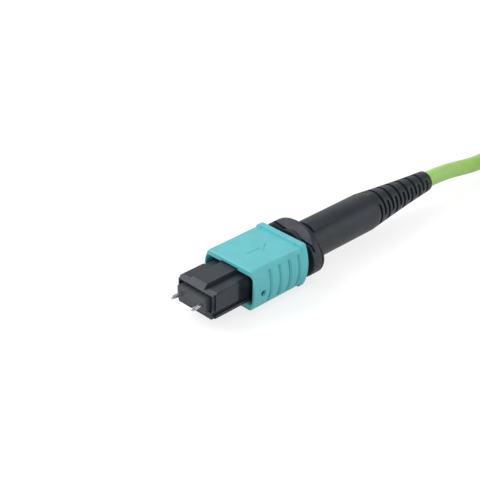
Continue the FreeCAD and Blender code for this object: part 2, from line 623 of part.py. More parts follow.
def sleeve_openings():
    """The cavity, the keyway along its roof and the mould pin holes."""
    front, rear = SLEEVE_FRONT + OVERCUT, SLEEVE_REAR - OVERCUT
    outside = SLEEVE_HALF_WIDTH + OVERCUT
    keyway_y = KEY_HALF_WIDTH + KEYWAY_SIDE_ROOM
    cavity = rounded_block(rear, front, -CAVITY_HALF_WIDTH, CAVITY_HALF_WIDTH, -CAVITY_BOTTOM, CAVITY_TOP,
                           CAVITY_EDGE)
    keyway = bar(rear, front, -keyway_y, keyway_y, 0, KEYWAY_TOP)
    pin_hole = Part.makeCylinder(PIN_HOLE_DIAMETER / 2, 2 * outside,
                                 V(SLEEVE_FRONT - PIN_HOLE_SETBACK, -outside, -PIN_HOLE_DROP), V(0, 1, 0))
    return [cavity, keyway, pin_hole]


def coupling_sleeve():
    """The sliding grip: bulged shell, keyway, scoops, grip grooves, rails and spring seats."""
    scoop = finger_scoop()
    scoop_below = scoop.mirror(V(0, 0, 0), V(0, 0, 1))
    shell = sleeve_outside().cut(sleeve_openings() + [scoop, scoop_below] + grip_grooves())
    fittings = sleeve_fittings()
    return shell.fuse(fittings + [mirrored(f) for f in fittings])


def sleeve_spring(side):
    """One of the two small round springs that push the sleeve forward."""
    half = SLEEVE_SPRING_DIAMETER / 2
    coil = oval_coil(EAR_FRONT + SPRING_END_GAP, SEAT_REAR - SPRING_END_GAP, half, half,
                     SLEEVE_SPRING_WIRE, SLEEVE_SPRING_TURNS)
    return coil.translate(V(0, side * SPRING_Y, 0))


# ---------------------------------------------------------------- spring push and crimp
def collar():
    """The plate of the spring push that closes the housing's rear."""
    return rounded_block(COLLAR_REAR, HOUSING_REAR, -LIP_HALF_WIDTH, LIP_HALF_WIDTH,
                         -HOUSING_BOTTOM + OVERLAP, HOUSING_TOP - OVERLAP, HOUSING_EDGE)


def latch_tooth():
    """A ramped tooth that snaps into the housing's window."""
    front = HOUSING_REAR + WINDOW_SETBACK + WINDOW_LENGTH - LATCH_CLEARANCE
    rear = front - WINDOW_LENGTH + 2 * LATCH_CLEARANCE
    root = CAVITY_HALF_Y - FERRULE_CLEARANCE - OVERLAP
    tip = HOUSING_HALF_WIDTH - LATCH_CLEARANCE
    half_z = WINDOW_HEIGHT / 2 - LATCH_CLEARANCE
    points = [V(front, root, -half_z), V(rear + TOOTH_LENGTH, tip, -half_z), V(rear, tip, -half_z),
              V(rear, root, -half_z)]
    return Part.Face(Part.makePolygon(points + points[:1])).extrude(V(0, 0, 2 * half_z))


def barrel():
    """The round barrel behind the collar, with grooves that grip the yarn."""
    profile = [(COLLAR_REAR, 0), (COLLAR_REAR, BARREL_RADIUS)]
    pitch = (PUSH_BARREL_LENGTH - CRIMP_PLAIN_FRONT - CRIMP_PLAIN_REAR) / CRIMP_GROOVES
    for i in range(CRIMP_GROOVES):
        start = COLLAR_REAR - CRIMP_PLAIN_FRONT - i * pitch
        profile += [(start, BARREL_RADIUS), (start - pitch / 4, BARREL_RADIUS - CRIMP_GROOVE_DEPTH),
                    (start - pitch / 2, BARREL_RADIUS)]
    profile += [(BARREL_REAR, BARREL_RADIUS), (BARREL_REAR, 0)]
    return turned(profile)


def spring_push():
    """The rear body: spring seat with spigot, latch teeth, collar, crimp barrel, one ribbon passage."""
    seat = block(PUSH_FRONT, HOUSING_REAR - OVERLAP, CAVITY_HALF_Y - FERRULE_CLEARANCE,
                 HOUSING_CAVITY_Z - LATCH_CLEARANCE)
    inset = SPRING_WIRE + SPIGOT_CLEARANCE
    spigot = oval_bar(PUSH_FRONT + PUSH_SPIGOT, PUSH_FRONT - OVERLAP, SPRING_HALF_WIDTH - inset,
                      SPRING_HALF_HEIGHT - inset)
    tooth = latch_tooth()
    body = seat.fuse([spigot, tooth, mirrored(tooth), collar(), barrel()])
    slot = oval_bar(PUSH_FRONT + PUSH_SPIGOT + OVERCUT, COLLAR_REAR - OVERCUT,
                    RIBBON_HALF_WIDTH + BORE_CLEARANCE, RIBBON_THICKNESS / 2 + 2 * BORE_CLEARANCE)
    bore = rod(COLLAR_REAR, BARREL_REAR - OVERCUT, RIBBON_HALF_WIDTH + 2 * BORE_CLEARANCE)
    return body.cut([slot, bore])


def aramid_yarn():
    """The cable's strength yarn, laid over the barrel under the crimp ring."""
    outer = rod(CRIMP_FRONT + YARN_PROUD, BARREL_REAR, YARN_RADIUS)
    return outer.cut(rod(CRIMP_FRONT + OVERCUT, BARREL_REAR - OVERCUT, BARREL_RADIUS))


def crimp_ring():
    """The two-diameter metal ring that clamps the yarn and the cable's jacket."""
    tail_inner = CABLE_RADIUS
    tail_outer = CABLE_RADIUS + CRIMP_WALL
    return turned([
        (CRIMP_FRONT, YARN_RADIUS), (CRIMP_FRONT, CRIMP_RADIUS), (CRIMP_STEP, CRIMP_RADIUS),
        (CRIMP_STEP - CRIMP_TAPER, tail_outer), (CRIMP_REAR, tail_outer), (CRIMP_REAR, tail_inner),
        (CRIMP_STEP - CRIMP_OVERLAP, tail_inner), (BARREL_REAR, YARN_RADIUS),
    ])


def cable_in_boot():
    """The cable's straight end, from the crimp to where it leaves the boot."""
    return rod(CABLE_FRONT, BOOT_REAR, CABLE_RADIUS)


# ---------------------------------------------------------------- boot
def flange_block(front, rear, inset):
    """A length of the flange's oval outline, drawn in by an inset."""
    rim = Part.Ellipse(V(0, 0, 0), BOOT_FLANGE_HALF_WIDTH - inset, BOOT_FLANGE_HALF_HEIGHT - inset)
    section = Part.Face(Part.Wire(rim.toShape()))
    section.rotate(V(0, 0, 0), V(1, 1, 1), 120)
    return section.translate(V(rear, 0, 0)).extrude(V(front - rear, 0, 0))


def flange_top_cuts():
    """From the flange's top: room over the ridge, the slot behind it, and the slope up to the rim."""
    ridge_rear = BOOT_FRONT - RIDGE_THICKNESS
    slot_rear = ridge_rear - FLANGE_SLOT_WIDTH
    reach = BOOT_FLANGE_HALF_WIDTH
    above = BOOT_FLANGE_HALF_HEIGHT + OVERCUT
    slot_floor = SLOPE_FRONT_HEIGHT - FLANGE_SLOT_DEPTH
    slope = [(slot_rear, above), (slot_rear, SLOPE_FRONT_HEIGHT),
             (BOOT_FLANGE_REAR + RIM_THICKNESS, BOOT_FLANGE_HALF_HEIGHT), (BOOT_FLANGE_REAR + RIM_THICKNESS, above)]
    return [
        bar(BOOT_FRONT + OVERCUT, slot_rear, -reach, reach, RIDGE_HEIGHT, above),
        bar(ridge_rear, slot_rear, -reach, reach, slot_floor, above),
        side_prism(slope, -reach, reach),
    ]


def boot_flange():
    """The boot's oval front flange: a slot and a slope above and below, and a thin rim behind a groove."""
    flange = flange_block(BOOT_FRONT, BOOT_FLANGE_REAR, 0)
    flange = flange.makeFillet(BOOT_FLANGE_EDGE, edges_at_x(flange, BOOT_FRONT))
    groove_rear = BOOT_FLANGE_REAR + RIM_THICKNESS
    groove_front = groove_rear + RIM_GROOVE_WIDTH
    band = block(groove_front, groove_rear, BOOT_FLANGE_HALF_WIDTH + OVERCUT, RIM_GROOVE_HALF_HEIGHT)
    groove = band.cut(flange_block(groove_front + OVERCUT, groove_rear - OVERCUT, RIM_GROOVE_DEPTH))
    above = flange_top_cuts()
    below = [cut.mirror(V(0, 0, 0), V(0, 0, 1)) for cut in above]
    return flange.cut([groove] + above + below)


def boot_profile():
    """The barrel and tail in section: flange fillet, straight barrel, hollow taper, chamfered end."""
    root_x = BOOT_FLANGE_REAR - BOOT_ROOT_FILLET
    root_r = BOOT_BARREL_RADIUS + BOOT_ROOT_FILLET
    slant = BOOT_ROOT_FILLET * math.sqrt(0.5)
    middle_x = (BOOT_TAPER_FRONT + BOOT_REAR) / 2
    middle_r = (BOOT_BARREL_RADIUS + BOOT_TAIL_RADIUS) / 2 - BOOT_TAIL_HOLLOW
    flange_side = V(BOOT_FLANGE_REAR, 0, root_r)
    root = V(root_x, 0, BOOT_BARREL_RADIUS)
    taper = V(BOOT_TAPER_FRONT, 0, BOOT_BARREL_RADIUS)
    tail = V(BOOT_REAR + BOOT_TAIL_EDGE, 0, BOOT_TAIL_RADIUS)
    inside_rim = BOOT_FLANGE_REAR + RIM_THICKNESS / 2
    start = [V(BOOT_FRONT, 0, 0), V(BOOT_FRONT, 0, BOOT_BARREL_RADIUS), V(inside_rim, 0, BOOT_BARREL_RADIUS),
             V(inside_rim, 0, root_r), flange_side]
    end = [tail, V(BOOT_REAR, 0, BOOT_TAIL_RADIUS - BOOT_TAIL_EDGE), V(BOOT_REAR, 0, 0), start[0]]
    edges = [Part.LineSegment(p, q).toShape() for p, q in zip(start, start[1:])]
    edges.append(Part.Arc(flange_side, V(root_x + slant, 0, root_r - slant), root).toShape())
    edges.append(Part.LineSegment(root, taper).toShape())
    edges.append(Part.Arc(taper, V(middle_x, 0, middle_r), tail).toShape())
    edges += [Part.LineSegment(p, q).toShape() for p, q in zip(end, end[1:])]
    return Part.Wire(edges)


def boot_outside():
    """Flange, straight barrel and tapering tail, as one moulding."""
    barrel_and_tail = Part.Face(boot_profile()).revolve(V(0, 0, 0), V(1, 0, 0), 360)
    return barrel_and_tail.fuse(boot_flange())


def boot_hollow():
    """Room inside the boot for the crimp ring, then the cable's bore."""
    wide = CRIMP_RADIUS + BORE_CLEARANCE
    tail = CABLE_RADIUS + CRIMP_WALL + BORE_CLEARANCE
    front, rear = BOOT_FRONT + OVERCUT, BOOT_REAR - OVERCUT
    return turned([
        (front, 0), (front, wide), (CRIMP_STEP - BORE_CLEARANCE, wide),
        (CRIMP_STEP - CRIMP_TAPER - BORE_CLEARANCE, tail), (CRIMP_REAR - BORE_CLEARANCE, tail),
        (CRIMP_REAR - CRIMP_OVERLAP, BOOT_BORE), (rear, BOOT_BORE), (rear, 0),
    ])


def slot_sector(x, middle, angle):
    """A slice across the tail, centred on an angle up from +Y."""
    reach = BOOT_BARREL_RADIUS + OVERCUT
    start = math.radians(middle - angle / 2)
    spoke = Part.LineSegment(V(x, 0, 0), V(x, reach * math.cos(start), reach * math.sin(start)))
    fan = spoke.toShape().revolve(V(x, 0, 0), V(1, 0, 0), angle)
    return fan.extrude(V(SLOT_WIDTH, 0, 0)).translate(V(-SLOT_WIDTH / 2, 0, 0))


def flex_slots():
    """Rings of slots through the tail's wall: side slots and top-and-bottom slots by turns."""
    slots = []
    for i in range(SLOT_RINGS):
        x = BOOT_REAR + SLOT_END_SETBACK + i * SLOT_PITCH
        if i % 2 == 0:
            slots += [slot_sector(x, 0, SIDE_SLOT_ANGLE), slot_sector(x, 180, SIDE_SLOT_ANGLE)]
        else:
            slots += [slot_sector(x, 90, TOP_SLOT_ANGLE), slot_sector(x, 270, BOTTOM_SLOT_ANGLE)]
    return slots


def strain_relief_boot():
    """The rubber boot with its hollow, flex slots and the notch across its top."""
    notch_front = BOOT_FLANGE_REAR - BOOT_NOTCH_SETBACK
    notch = bar(notch_front - BOOT_NOTCH_WIDTH, notch_front, -BOOT_BARREL_RADIUS, BOOT_BARREL_RADIUS,
                BOOT_BARREL_RADIUS - BOOT_NOTCH_DEPTH, BOOT_BARREL_RADIUS + OVERCUT)
    boot = boot_outside().cut([boot_hollow(), notch] + flex_slots())
    boot.rotate(V(0, 0, 0), V(1, 0, 0), BOOT_TURN)
    return boot


# ---------------------------------------------------------------- cable
def near(shape):
    """From the plug's own place to the part's frame."""
    return shape.copy().translate(V(-ORIGIN_X, 0, AXIS_HEIGHT))


def far(shape):
    """From the plug's own place to the far end of the lead, turned to face away."""
    turned_round = shape.copy()
    turned_round.rotate(V(0, 0, 0), V(0, 0, 1), 180)
    return turned_round.translate(V(FAR_EXIT_X + BOOT_REAR, 0, AXIS_HEIGHT))


def cable_path(points):
    """Straight runs joined by the largest tangent arcs that fit, with the arcs' radii."""
    edges, radii = [], []
    start = points[0]
    for before, corner, after in zip(points, points[1:], points[2:]):
        arrive, leave = corner - before, after - corner
        reach = RUN_SHARE * min(arrive.Length, leave.Length)
        half_turn = arrive.getAngle(leave) / 2
        radius = reach / math.tan(half_turn)
        arrive.normalize()
        leave.normalize()
        inward = leave - arrive
        inward.normalize()
        first, last = corner - arrive * reach, corner + leave * reach
        middle = corner + inward * (radius / math.cos(half_turn) - radius)
        edges += [Part.LineSegment(start, first).toShape(), Part.Arc(first, middle, last).toShape()]
        radii.append(radius)
        start = last
    edges.append(Part.LineSegment(start, points[-1]).toShape())
    return edges, radii


def cable_tube(points):
    """A length of cable along a route; prints its bend radii and its volume against its length."""
    path, radii = cable_path(points)
    tube = round_bar(path, CABLE_RADIUS)
    due = math.pi * CABLE_RADIUS ** 2 * sum(edge.Length for edge in path)
    print("cable radii", [round(r, 1) for r in radii], "volume / due", round(tube.Volume / due, 4))
    return tube


def hank_ring():
    """The hank's outer form: an oval ring of cable, two columns wide."""
    outer = HANK_FOLD_RADIUS + CABLE_DIAMETER + CABLE_RADIUS
    inner = HANK_FOLD_RADIUS - CABLE_RADIUS
    height = HANK_LAYERS * CABLE_DIAMETER
    return hank_oval(outer, height).cut(hank_oval(inner, height))


def hank_oval(radius, height):
    """An upright oval block round the hank's two fold centres."""
    low = V(HANK_FRONT_X, HANK_Y, TIE_THICKNESS)
    back = V(HANK_REAR_X, HANK_Y, TIE_THICKNESS)
    across = V(0, radius, 0)
    edges = [
        Part.LineSegment(back + across, low + across).toShape(),
        Part.Arc(low + across, low + V(radius, 0, 0), low - across).toShape(),
        Part.LineSegment(low - across, back - across).toShape(),
        Part.Arc(back - across, back - V(radius, 0, 0), back + across).toShape(),
    ]
    return Part.Face(Part.Wire(edges)).extrude(V(0, 0, height))


def hank_tie():
    """The strap round the bundle on the hank's far side."""
    inner_y = HANK_Y + HANK_FOLD_RADIUS - CABLE_RADIUS
    outer_y = HANK_Y + HANK_FOLD_RADIUS + CABLE_DIAMETER + CABLE_RADIUS
    top = TIE_THICKNESS + HANK_LAYERS * CABLE_DIAMETER
    middle = (HANK_FRONT_X + HANK_REAR_X) / 2
    strap = rounded_block(middle - TIE_WIDTH / 2, middle + TIE_WIDTH / 2, inner_y - TIE_THICKNESS,
                          outer_y + TIE_THICKNESS, 0, top + TIE_THICKNESS, TIE_THICKNESS)
    bundle = bar(middle - TIE_WIDTH, middle + TIE_WIDTH, inner_y, outer_y, TIE_THICKNESS, top)
    return strap.cut(bundle)


# The cable's route in the part's frame, chosen by hand: out of the boot, down to the surface and
# beside the hank; then from the hank to the far plug.
RUN_SHARE = 0.45
EXIT_RUN = 5.0                  # straight out of either boot
FAR_RUN = 20.2                  # from the hank to the far boot's straight
NEAR_ROUTE = [
    V(CABLE_EXIT_X, 0, AXIS_HEIGHT), V(CABLE_EXIT_X - EXIT_RUN, 0, AXIS_HEIGHT), V(-44.5, 0.8, 3.4),
    V(-51.5, 0.1, 2.4), V(-58, -2.8, 2.1), V(-64.5, -4.5, 2.1), V(-71, -4.5, 2.1),
]
HANK_FRONT_X = -65
HANK_Y = NEAR_ROUTE[-1].y + HANK_FOLD_RADIUS + CABLE_DIAMETER
FAR_OFFSETS = [
    V(0, -4.5, 5.1), V(-5, -4.5, 5.1), V(-10.2, -3.45, 4.9), V(-15.4, -1.05, 4.45),
    V(-FAR_RUN, 0, AXIS_HEIGHT), V(-FAR_RUN - EXIT_RUN, 0, AXIS_HEIGHT),
]


def hank_straight():
    """Length of the hank's straight runs, so that the whole cable has its real length."""
    free = LEAD_LENGTH + 2 * BOOT_REAR
    tubes = sum(edge.Length for edge in cable_path(NEAR_ROUTE)[0] + cable_path(FAR_OFFSETS)[0])
    inner, outer = HANK_FOLD_RADIUS, HANK_FOLD_RADIUS + CABLE_DIAMETER
    laps = 2 * HANK_LAYERS - 1
    half_turns = math.pi * laps * (inner + outer)
    shared = HANK_FRONT_X - NEAR_ROUTE[-1].x
    climb = laps * CABLE_DIAMETER * HANK_CLIMB_SHARE
    return (free - tubes - half_turns + shared - climb) / (2 * laps + 1)


HANK_REAR_X = HANK_FRONT_X - hank_straight()
FAR_ROUTE = [p + V(HANK_REAR_X, 0, 0) for p in FAR_OFFSETS]
FAR_EXIT_X = FAR_ROUTE[-1].x


def near_nodes():
    """The near plug's pieces."""
    return {
        "ferrule": ferrule(),
        "guide_pin_left": guide_pin(-1),
        "guide_pin_right": guide_pin(1),
        "pin_keeper": pin_keeper(),
        "ferrule_boot": ferrule_boot(),
        "fibre_ribbon": fibre_ribbon(),
        "ferrule_spring": ferrule_spring(),
        "inner_housing": inner_housing(),
        "coupling_sleeve": coupling_sleeve(),
        "sleeve_spring_left": sleeve_spring(-1),
        "sleeve_spring_right": sleeve_spring(1),
        "spring_push": spring_push(),
        "aramid_yarn": aramid_yarn(),
        "crimp_ring": crimp_ring(),
        "strain_relief_boot": strain_relief_boot(),
        "cable_in_boot": cable_in_boot(),
    }


def far_nodes():
    """The far plug's pieces."""
    return {
        "far_ferrule": plain_ferrule(),
        "far_guide_pins": Part.makeCompound([guide_pin(-1), guide_pin(1)]),
        "far_inner_housing": plain_housing(),
        "far_coupling_sleeve": coupling_sleeve(),
        "far_boot": strain_relief_boot(),
        "far_cable_in_boot": cable_in_boot(),
    }


def cable_nodes():
    """The free cable, its hank and the tie."""
    return {
        "cord_tube": cable_tube(NEAR_ROUTE),
        "cord_hank": hank_ring(),
        "hank_tie": hank_tie(),
        "cord_tube_far": cable_tube(FAR_ROUTE),
    }


def main():
    """Write one STEP file for each node."""
    nodes = {name: near(shape) for name, shape in near_nodes().items()}
    nodes.update({name: far(shape) for name, shape in far_nodes().items()})
    nodes.update(cable_nodes())
    os.makedirs("parts", exist_ok=True)
    for name, shape in nodes.items():
        shape.exportStep(os.path.join("parts", name + ".step"))
        print(name, "solids", len(shape.Solids), "valid", shape.isValid(), "mm3", round(shape.Volume, 2))


main()
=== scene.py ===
"""Looks of the fibre plug: materials, rounded edges, springs copied onto their bodies, arrows and groove
floors on the grips, the cable with its hank, camera, floor and light."""
import json
import math

import bmesh
import bpy
from mathutils import Matrix, Vector

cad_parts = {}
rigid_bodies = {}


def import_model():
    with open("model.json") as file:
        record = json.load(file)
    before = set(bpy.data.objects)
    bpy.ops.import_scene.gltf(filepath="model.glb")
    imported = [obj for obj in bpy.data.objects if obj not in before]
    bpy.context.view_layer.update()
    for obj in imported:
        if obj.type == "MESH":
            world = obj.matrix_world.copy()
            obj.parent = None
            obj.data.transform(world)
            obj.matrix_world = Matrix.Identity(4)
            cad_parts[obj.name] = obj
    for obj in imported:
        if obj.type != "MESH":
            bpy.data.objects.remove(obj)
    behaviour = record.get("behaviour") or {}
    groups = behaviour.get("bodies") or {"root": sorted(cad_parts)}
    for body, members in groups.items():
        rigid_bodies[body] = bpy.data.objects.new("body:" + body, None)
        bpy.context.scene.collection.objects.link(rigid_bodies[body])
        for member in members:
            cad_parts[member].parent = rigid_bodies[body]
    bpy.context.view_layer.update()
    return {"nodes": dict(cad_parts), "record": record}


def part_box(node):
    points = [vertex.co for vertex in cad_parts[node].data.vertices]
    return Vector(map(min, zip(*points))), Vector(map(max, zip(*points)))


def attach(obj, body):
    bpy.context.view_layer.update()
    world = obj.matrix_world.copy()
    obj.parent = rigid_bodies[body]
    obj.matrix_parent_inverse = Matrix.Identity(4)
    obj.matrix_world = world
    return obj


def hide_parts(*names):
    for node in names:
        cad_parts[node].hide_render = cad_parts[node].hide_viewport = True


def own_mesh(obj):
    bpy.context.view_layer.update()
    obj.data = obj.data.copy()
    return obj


MM = 0.001

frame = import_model()

# Sizes that the looks share with the solids
CABLE_DIAMETER = 3.0 * MM
HANK_INNER_RADIUS = 9.0 * MM
HANK_OUTER_RADIUS = HANK_INNER_RADIUS + CABLE_DIAMETER
EXIT_RUN = 5.0                          # straight cable outside each boot, in mm like the route's points
FAR_RUN = 20.2                          # from the hank's rear centre to that straight
BOOT_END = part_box("cable_in_boot")[0].x
AXIS_HEIGHT = sum(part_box("cable_in_boot"), Vector()).z / 2
REAR_LIP_LENGTH = 1.3 * MM
REAR_LIP_HEIGHT = 0.3 * MM
SCOOP_LENGTH = 7.6 * MM
SCOOP_DEPTH = 0.12 * MM

# Details made here
EDGE_ROUND = 0.08 * MM
EDGE_ANGLE = math.radians(35)           # sharper edges than this are rounded
ARROW_TAIL, ARROW_NECK, ARROW_TIP = 3.6 * MM, 6.3 * MM, 8.4 * MM    # behind the grip's front
ARROW_SHAFT_HALF, ARROW_HEAD_HALF = 0.42 * MM, 1.35 * MM
ARROW_SUNK, ARROW_PROUD = 0.06 * MM, 0.09 * MM
ARROW_EDGE = 0.05 * MM
STRIP_SPAN = (1.9, 9.6)                 # groove floors, from the grip's rear, in mm
STRIP_SECTION = [(5.352, 1.9), (5.19, 2.45), (5.05, 2.45), (5.22, 1.9)]    # out from and above the axis

# The picture's viewpoint
LENS = 93.03
SENSOR = 36
CAMERA_ANGLES = (44.435, 30.222, 1.391)    # azimuth, elevation and roll, in degrees
CAMERA_TARGET = Vector((18.082, 0, 11.1407)) * MM
CAMERA_DISTANCE = 198.15 * MM

# Floor, room and lamps
FLOOR_HALF = 3
FLOOR_GREY = 0.4
FLOOR_GLOW_SEEN = 0.72
FLOOR_GLOW_MIRRORED = 0.46
ROOM_LIGHT = 0.27
LAMP_TARGET = Vector((0, 0, 4)) * MM
LAMPS = [    # name, place and size in mm, power
    ("overhead", (-60, 30, 320), 240, 0.12),
    ("left", (130, -230, 185), 380, 1.22),
    ("back_left", (-190, -190, 150), 280, 0.12),
    ("back_right", (-190, 190, 110), 200, 0.16),
    ("camera_side", (160, 280, 100), 150, 0.42),
]


# ---------------------------------------------------------------- materials
GLOSS_SPREAD = 0.06


def new_material(name, colour, roughness):
    """A principled material with its shader and node tree at hand."""
    material = bpy.data.materials.new(name)
    material.use_nodes = True
    tree = material.node_tree
    shader = tree.nodes["Principled BSDF"]
    shader.inputs["Base Color"].default_value = (*colour, 1)
    shader.inputs["Roughness"].default_value = roughness
    return material, tree, shader


def noise(tree, size_mm, detail=3.0, stretch=(1, 1, 1)):
    """Noise with features of about the given size, fixed to the object."""
    place = tree.nodes.new("ShaderNodeTexCoord")
    mapping = tree.nodes.new("ShaderNodeMapping")
    mapping.inputs["Scale"].default_value = stretch
    texture = tree.nodes.new("ShaderNodeTexNoise")
    texture.inputs["Scale"].default_value = 1 / (size_mm * MM)
    texture.inputs["Detail"].default_value = detail
    tree.links.new(place.outputs["Object"], mapping.inputs["Vector"])
    tree.links.new(mapping.outputs["Vector"], texture.inputs["Vector"])
    return texture.outputs["Fac"]


def remap(tree, value, low, high):
    """The noise's middle range spread over low to high."""
    node = tree.nodes.new("ShaderNodeMapRange")
    node.inputs["From Min"].default_value = 0.3
    node.inputs["From Max"].default_value = 0.7
    node.inputs["To Min"].default_value = low
    node.inputs["To Max"].default_value = high
    tree.links.new(value, node.inputs["Value"])
    return node.outputs["Result"]


def vary_colour(tree, shader, value, low, high, span=(0.3, 0.7)):
    """The base colour drifts between two colours as the value crosses a span."""
    ramp = tree.nodes.new("ShaderNodeValToRGB")
    for stop, place, colour in zip(ramp.color_ramp.elements, span, (low, high)):
        stop.position = place
        stop.color = (*colour, 1)
    tree.links.new(value, ramp.inputs["Fac"])
    tree.links.new(ramp.outputs["Color"], shader.inputs["Base Color"])


def add_bump(tree, shader, value, depth_um):
    """Relief of the given depth from a texture."""
    bump = tree.nodes.new("ShaderNodeBump")
    bump.inputs["Distance"].default_value = depth_um * 1e-6
    bump.inputs["Strength"].default_value = 1.0
    tree.links.new(value, bump.inputs["Height"])
    tree.links.new(bump.outputs["Normal"], shader.inputs["Normal"])


def shade(colour, factor):
    """A colour made lighter or darker."""
    return tuple(min(1.0, c * factor) for c in colour)


def moulded(name, colour, roughness, grain_mm=0.12, depth_um=3.0, drift=0.06, tint=(1, 1, 1)):
    """Moulded plastic or rubber: fine texture, slow colour drift, uneven gloss."""
    material, tree, shader = new_material(name, colour, roughness)
    shader.inputs["Specular Tint"].default_value = (*tint, 1)
    slow = noise(tree, 2.6, 2.0)
    vary_colour(tree, shader, slow, shade(colour, 1 - drift), shade(colour, 1 + drift))
    gloss = remap(tree, noise(tree, 0.9, 4.0), roughness - GLOSS_SPREAD, roughness + GLOSS_SPREAD)
    tree.links.new(gloss, shader.inputs["Roughness"])
    add_bump(tree, shader, noise(tree, grain_mm, 2.0), depth_um)
    return material


def metal(name, colour, roughness, grain_mm, depth_um, stretch):
    """Ground or drawn metal, its marks drawn out along one direction."""
    material, tree, shader = new_material(name, colour, roughness)
    shader.inputs["Metallic"].default_value = 1.0
    marks = noise(tree, grain_mm, 4.0, stretch)
    tree.links.new(remap(tree, marks, roughness * 0.7, roughness * 1.4), shader.inputs["Roughness"])
    vary_colour(tree, shader, marks, shade(colour, 0.9), shade(colour, 1.06))
    add_bump(tree, shader, marks, depth_um)
    return material


def filled_resin(name, colour, fleck):
    """Glass-filled ferrule resin: dark and smooth with faint pale flecks."""
    material, tree, shader = new_material(name, colour, 0.38)
    vary_colour(tree, shader, noise(tree, 0.05, 2.0), colour, fleck, span=(0.58, 0.72))
    tree.links.new(remap(tree, noise(tree, 0.4), 0.32, 0.46), shader.inputs["Roughness"])
    add_bump(tree, shader, noise(tree, 0.06), 1.5)
    return material


def clear_coat(material, weight, roughness):
    """A smooth skin over a jacket or a fibre."""
    shader = material.node_tree.nodes["Principled BSDF"]
    shader.inputs["Coat Weight"].default_value = weight
    shader.inputs["Coat Roughness"].default_value = roughness
    return material


def woven(name, colour):
    """Hook-and-loop strap: fuzzy loops in rows."""
    material, tree, shader = new_material(name, colour, 0.85)
    shader.inputs["Sheen Weight"].default_value = 0.5
    shader.inputs["Sheen Roughness"].default_value = 0.4
    place = tree.nodes.new("ShaderNodeTexCoord")
    loops = tree.nodes.new("ShaderNodeTexVoronoi")
    loops.inputs["Scale"].default_value = 1 / (0.35 * MM)
    tree.links.new(place.outputs["Object"], loops.inputs["Vector"])
    vary_colour(tree, shader, loops.outputs["Distance"], shade(colour, 1.9), shade(colour, 0.6))
    add_bump(tree, shader, loops.outputs["Distance"], 60)
    return material


def ribbon_material():
    """Clear blue fibres that look dark where they end flush in the ferrule's face."""
    material = clear_coat(moulded("ribbon", (0.42, 0.66, 0.78), 0.25, depth_um=0.5), 0.6, 0.05)
    tree = material.node_tree
    shader = tree.nodes["Principled BSDF"]
    blue = shader.inputs["Base Color"].links[0].from_socket
    face_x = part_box("ferrule")[1].x
    place = tree.nodes.new("ShaderNodeTexCoord")
    axes = tree.nodes.new("ShaderNodeSeparateXYZ")
    depth = tree.nodes.new("ShaderNodeMapRange")
    depth.inputs["From Min"].default_value = face_x - 0.4 * MM
    depth.inputs["From Max"].default_value = face_x - 0.1 * MM
    ends = tree.nodes.new("ShaderNodeMix")
    ends.data_type = "RGBA"
    ends.inputs["B"].default_value = (0.07, 0.08, 0.09, 1)
    tree.links.new(place.outputs["Object"], axes.inputs["Vector"])
    tree.links.new(axes.outputs["X"], depth.inputs["Value"])
    tree.links.new(depth.outputs["Result"], ends.inputs["Factor"])
    tree.links.new(blue, ends.inputs["A"])
    tree.links.new(ends.outputs["Result"], shader.inputs["Base Color"])
    return material


AQUA = (0.125, 0.545, 0.585)
BLACK_PLASTIC = (0.022, 0.026, 0.034)
BLACK_RUBBER = (0.018, 0.021, 0.028)
LIME = (0.38, 0.67, 0.165)
COOL_SHEEN = (0.9, 0.96, 1)

materials = {
    "sleeve_aqua": moulded("sleeve_aqua", AQUA, 0.42, grain_mm=0.16, depth_um=4, drift=0.05),
    "housing_black": moulded("housing_black", BLACK_PLASTIC, 0.34, grain_mm=0.1, depth_um=2.5, drift=0.12,
                             tint=COOL_SHEEN),
    "boot_rubber": moulded("boot_rubber", BLACK_RUBBER, 0.44, grain_mm=0.14, depth_um=4, drift=0.15,
                           tint=COOL_SHEEN),
    "ferrule_black": filled_resin("ferrule_black", (0.05, 0.056, 0.064), (0.13, 0.14, 0.15)),
    "pin_steel": metal("pin_steel", (0.5, 0.51, 0.53), 0.22, 0.25, 0.6, (0.3, 3, 3)),
    "spring_steel": metal("spring_steel", (0.55, 0.55, 0.56), 0.28, 0.2, 1.0, (1, 1, 1)),
    "crimp_metal": metal("crimp_metal", (0.62, 0.62, 0.61), 0.34, 0.3, 2.0, (3, 0.6, 0.6)),
    "ribbon": ribbon_material(),
    "yarn": moulded("yarn", (0.72, 0.56, 0.12), 0.7, grain_mm=0.08, depth_um=30, drift=0.25),
    "cable_lime": clear_coat(moulded("cable_lime", LIME, 0.4, grain_mm=0.2, depth_um=5, drift=0.05),
                             0.15, 0.2),
    "tie_black": woven("tie_black", (0.02, 0.02, 0.022)),
}


def dress_cad_nodes():
    """Every carried-over CAD node takes the material of its slot in the record."""
    slots = {entry["node"]: entry["material_slot"] for entry in frame["record"]["subparts"]}
    for name, node in frame["nodes"].items():
        node.data.materials.clear()
        node.data.materials.append(materials[slots[name]])


def round_edges(*names):
    """Rounds the sharp edges of CAD nodes for the light to catch, without touching their meshes."""
    for name in names:
        node = frame["nodes"][name]
        weld = node.modifiers.new("weld", "WELD")
        weld.merge_threshold = 1e-6
        bevel = node.modifiers.new("edges", "BEVEL")
        bevel.width = EDGE_ROUND
        bevel.segments = 2
        bevel.limit_method = "ANGLE"
        bevel.angle_limit = EDGE_ANGLE
        bevel.use_clamp_overlap = True


def make_spring(name, joint):
    """A spring's own copy of its coils, riding the body of its joint's parent, with the CAD node hidden."""
    node = frame["nodes"][name]
    spring = bpy.data.objects.new("moving_" + name, node.data.copy())
    bpy.context.scene.collection.objects.link(spring)
    spring.matrix_world = node.matrix_world
    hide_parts(name)
    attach(spring, joint["parent"])
    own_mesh(spring)


